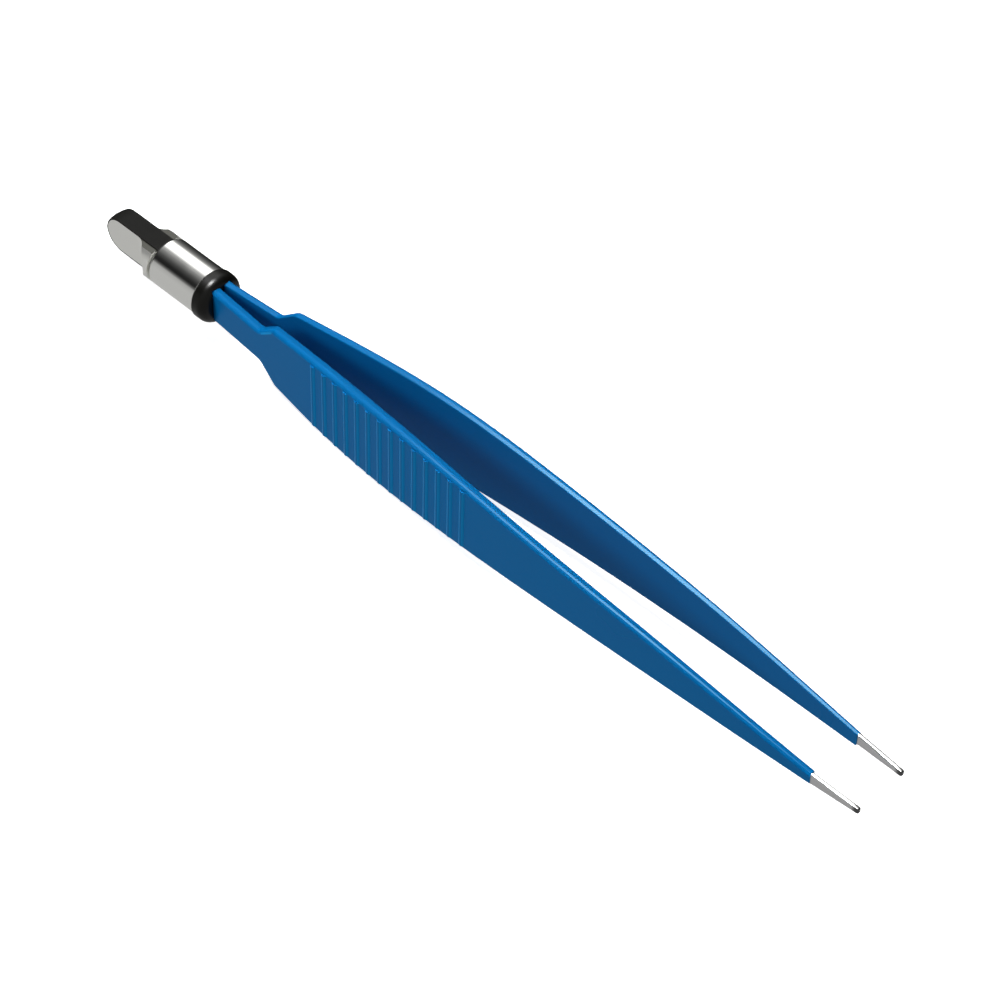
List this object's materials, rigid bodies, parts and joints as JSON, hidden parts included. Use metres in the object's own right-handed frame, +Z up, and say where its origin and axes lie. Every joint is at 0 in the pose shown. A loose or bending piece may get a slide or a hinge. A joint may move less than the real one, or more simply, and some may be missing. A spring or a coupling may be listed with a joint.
{
  "type": "bipolar forceps",
  "caption": "Straight bipolar forceps: blue coated spring arms with a ribbed grip and bare fine tips, joined in a black collar on a flat two-pole plug.",
  "frame": {"origin": "on the plug's axis, in the plane of the plug barrel's front rim, where the black collar begins", "axes": "+X along the forceps towards the tips; +Y from the near arm to the far arm, the direction in which the arms open; +Z up across the width of the arms"},
  "size_m": [0.1545, 0.0122, 0.0148],
  "materials": {
    "arm_steel": "satin stainless steel",
    "blue_coat": "glossy blue insulating coat, smooth",
    "barrel_metal": "turned and polished, bright",
    "collar_plastic": "glossy black moulding",
    "core_plastic": "matt black moulding",
    "contact_metal": "satin nickel-plated strip"
  },
  "bodies": {
    "plug": {"plug_barrel": "barrel_metal", "front_collar": "collar_plastic", "plug_core": "core_plastic", "near_contact": "contact_metal", "far_contact": "contact_metal"},
    "near_side": {"near_arm": "arm_steel", "near_coat": "blue_coat"},
    "far_side": {"far_arm": "arm_steel", "far_coat": "blue_coat"}
  },
  "joints": [
    {"name": "near_arm_flex", "type": "hinge", "parent": "plug", "child": "near_side", "pos_m": [0.0028, -0.0011, 0], "axis": [0, 0, 1], "range_deg": [0, 1.74], "stiffness_Nm_per_rad": 1.1},
    {"name": "far_arm_flex", "type": "hinge", "parent": "plug", "child": "far_side", "pos_m": [0.0028, 0.0011, 0], "axis": [0, 0, 1], "range_deg": [-1.74, 0], "stiffness_Nm_per_rad": 1.1}
  ],
  "couplings": [
    {"joint": "far_arm_flex", "follows": "near_arm_flex", "ratio": -1}
  ]
}
